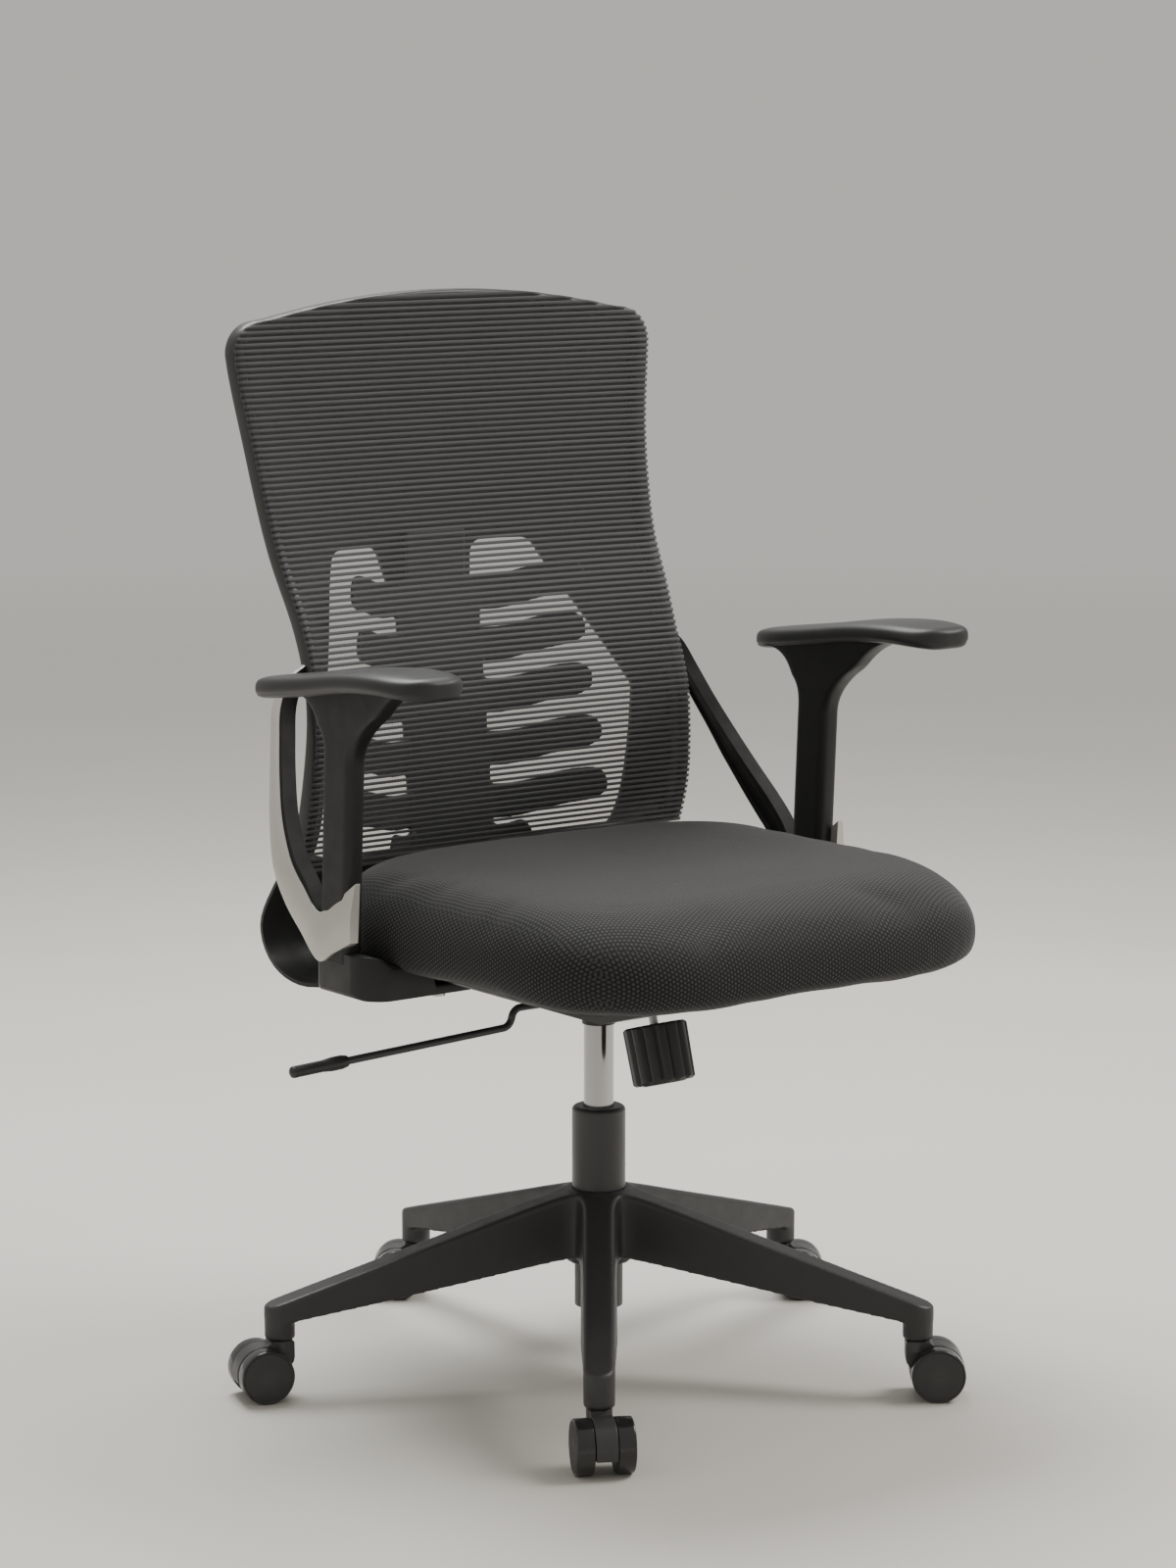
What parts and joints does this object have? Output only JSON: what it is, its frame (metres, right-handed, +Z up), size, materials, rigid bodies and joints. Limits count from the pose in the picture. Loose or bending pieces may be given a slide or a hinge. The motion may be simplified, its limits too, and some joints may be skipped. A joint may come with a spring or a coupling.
{
  "type": "swivel office chair",
  "caption": "Swivel task chair with a mesh back over a curved shell, padded seat, fixed V-bracket arms, gas lift, tilt mechanism and a star base on twin-wheel casters.",
  "frame": {"origin": "on the lift column's axis at floor level", "axes": "+Z up, -Y the chair's front, +X the sitter's left"},
  "size_m": [0.6862, 0.676, 0.999],
  "materials": {
    "black_nylon": "moulded, fine texture",
    "black_steel": "powder coated, satin",
    "bush_plastic": "natural acetal",
    "bright_steel": "plain",
    "chrome": "polished",
    "caster_plastic": "moulded, satin",
    "wheel_plastic": "polished tread, matt faces",
    "black_plastic": "moulded, fine texture",
    "seat_fabric": "spacer mesh knit",
    "back_mesh": "striped elastic mesh",
    "arm_plastic": "moulded, satin",
    "silver_trim": "satin silver",
    "arm_pad": "soft polyurethane"
  },
  "bodies": {
    "base": {"base_star": "black_nylon", "gas_tube": "black_steel", "guide_bush": "bush_plastic", "thrust_bearing": "bright_steel", "retaining_clip": "bright_steel"},
    "caster_1": {"caster_1_stem": "bright_steel", "caster_1_hood": "caster_plastic", "caster_1_axle": "bright_steel"},
    "wheel_1a": {"caster_1_wheel_a": "wheel_plastic"},
    "wheel_1b": {"caster_1_wheel_b": "wheel_plastic"},
    "caster_2": {"caster_2_stem": "bright_steel", "caster_2_hood": "caster_plastic", "caster_2_axle": "bright_steel"},
    "wheel_2a": {"caster_2_wheel_a": "wheel_plastic"},
    "wheel_2b": {"caster_2_wheel_b": "wheel_plastic"},
    "caster_3": {"caster_3_stem": "bright_steel", "caster_3_hood": "caster_plastic", "caster_3_axle": "bright_steel"},
    "wheel_3a": {"caster_3_wheel_a": "wheel_plastic"},
    "wheel_3b": {"caster_3_wheel_b": "wheel_plastic"},
    "caster_4": {"caster_4_stem": "bright_steel", "caster_4_hood": "caster_plastic", "caster_4_axle": "bright_steel"},
    "wheel_4a": {"caster_4_wheel_a": "wheel_plastic"},
    "wheel_4b": {"caster_4_wheel_b": "wheel_plastic"},
    "caster_5": {"caster_5_stem": "bright_steel", "caster_5_hood": "caster_plastic", "caster_5_axle": "bright_steel"},
    "wheel_5a": {"caster_5_wheel_a": "wheel_plastic"},
    "wheel_5b": {"caster_5_wheel_b": "wheel_plastic"},
    "piston": {"piston_rod": "bright_steel"},
    "lift": {"gas_cylinder": "chrome", "tilt_housing": "black_nylon", "pivot_pin": "bright_steel", "tension_spring": "bright_steel", "tension_bolt": "bright_steel"},
    "knob": {"tension_knob": "black_plastic"},
    "lock": {"lever_bush": "black_plastic"},
    "lever": {"lever_pin": "bright_steel", "lever_rod": "black_steel", "lever_grip": "black_plastic"},
    "seat": {"seat_plate": "black_steel", "seat_shell": "black_plastic", "seat_cushion": "seat_fabric", "seat_bolts": "bright_steel", "back_shell": "black_plastic", "mesh_rim": "black_plastic", "back_mesh": "back_mesh", "lumbar_spine": "black_plastic", "lumbar_ribs": "black_plastic", "arm_post_left": "arm_plastic", "arm_strut_left": "arm_plastic", "arm_trim_left": "silver_trim", "arm_pad_left": "arm_pad", "arm_post_right": "arm_plastic", "arm_strut_right": "arm_plastic", "arm_trim_right": "silver_trim", "arm_pad_right": "arm_pad"}
  },
  "joints": [
    {"name": "caster_1_swivel", "type": "hinge", "parent": "base", "child": "caster_1", "pos_m": [-0.18536, -0.24598, 0.055], "axis": [0, 0, 1], "continuous": true},
    {"name": "wheel_1a_spin", "type": "hinge", "parent": "caster_1", "child": "wheel_1a", "pos_m": [-0.19353, -0.26202, 0.025], "axis": [0.891, -0.454, 0], "continuous": true},
    {"name": "wheel_1b_spin", "type": "hinge", "parent": "caster_1", "child": "wheel_1b", "pos_m": [-0.19353, -0.26202, 0.025], "axis": [0.891, -0.454, 0], "continuous": true},
    {"name": "caster_2_swivel", "type": "hinge", "parent": "base", "child": "caster_2", "pos_m": [0.17666, -0.2523, 0.055], "axis": [0, 0, 1], "continuous": true},
    {"name": "wheel_2a_spin", "type": "hinge", "parent": "caster_2", "child": "wheel_2a", "pos_m": [0.19104, -0.26313, 0.025], "axis": [0.6018, 0.7986, 0], "continuous": true},
    {"name": "wheel_2b_spin", "type": "hinge", "parent": "caster_2", "child": "wheel_2b", "pos_m": [0.19104, -0.26313, 0.025], "axis": [0.6018, 0.7986, 0], "continuous": true},
    {"name": "caster_3_swivel", "type": "hinge", "parent": "base", "child": "caster_3", "pos_m": [0.29454, 0.09005, 0.055], "axis": [0, 0, 1], "continuous": true},
    {"name": "wheel_3a_spin", "type": "hinge", "parent": "caster_3", "child": "wheel_3a", "pos_m": [0.30892, 0.07922, 0.025], "axis": [0.6018, 0.7986, 0], "continuous": true},
    {"name": "wheel_3b_spin", "type": "hinge", "parent": "caster_3", "child": "wheel_3b", "pos_m": [0.30892, 0.07922, 0.025], "axis": [0.6018, 0.7986, 0], "continuous": true},
    {"name": "caster_4_swivel", "type": "hinge", "parent": "base", "child": "caster_4", "pos_m": [0.00537, 0.30795, 0.055], "axis": [0, 0, 1], "continuous": true},
    {"name": "wheel_4a_spin", "type": "hinge", "parent": "caster_4", "child": "wheel_4a", "pos_m": [-0.009, 0.31879, 0.025], "axis": [-0.6018, -0.7986, 0], "continuous": true},
    {"name": "wheel_4b_spin", "type": "hinge", "parent": "caster_4", "child": "wheel_4b", "pos_m": [-0.009, 0.31879, 0.025], "axis": [-0.6018, -0.7986, 0], "continuous": true},
    {"name": "caster_5_swivel", "type": "hinge", "parent": "base", "child": "caster_5", "pos_m": [-0.29122, 0.10028, 0.055], "axis": [0, 0, 1], "continuous": true},
    {"name": "wheel_5a_spin", "type": "hinge", "parent": "caster_5", "child": "wheel_5a", "pos_m": [-0.30843, 0.10554, 0.025], "axis": [-0.2924, -0.9563, 0], "continuous": true},
    {"name": "wheel_5b_spin", "type": "hinge", "parent": "caster_5", "child": "wheel_5b", "pos_m": [-0.30843, 0.10554, 0.025], "axis": [-0.2924, -0.9563, 0], "continuous": true},
    {"name": "seat_swivel", "type": "hinge", "parent": "base", "child": "piston", "pos_m": [0, 0, 0.07], "axis": [0, 0, 1], "continuous": true},
    {"name": "seat_height", "type": "slide", "parent": "piston", "child": "lift", "axis": [0, 0, 1], "range_m": [-0.074, 0.026]},
    {"name": "seat_tilt", "type": "hinge", "parent": "lift", "child": "seat", "pos_m": [0, -0.055, 0.372], "axis": [-1, 0, 0], "range_deg": [0, 14], "stiffness_Nm_per_rad": 120, "springref_deg": -25.78},
    {"name": "tension_turn", "type": "hinge", "parent": "lift", "child": "knob", "pos_m": [0, -0.092, 0.317], "axis": [0, 0.2924, 0.9563], "continuous": true},
    {"name": "tilt_lock", "type": "slide", "parent": "lift", "child": "lock", "axis": [-1, 0, 0], "range_m": [0, 0.008]},
    {"name": "lever_lift", "type": "hinge", "parent": "lock", "child": "lever", "pos_m": [-0.038, 0, 0.356], "axis": [0, 1, 0], "range_deg": [0, 5], "stiffness_Nm_per_rad": 4, "springref_deg": -6.88}
  ]
}
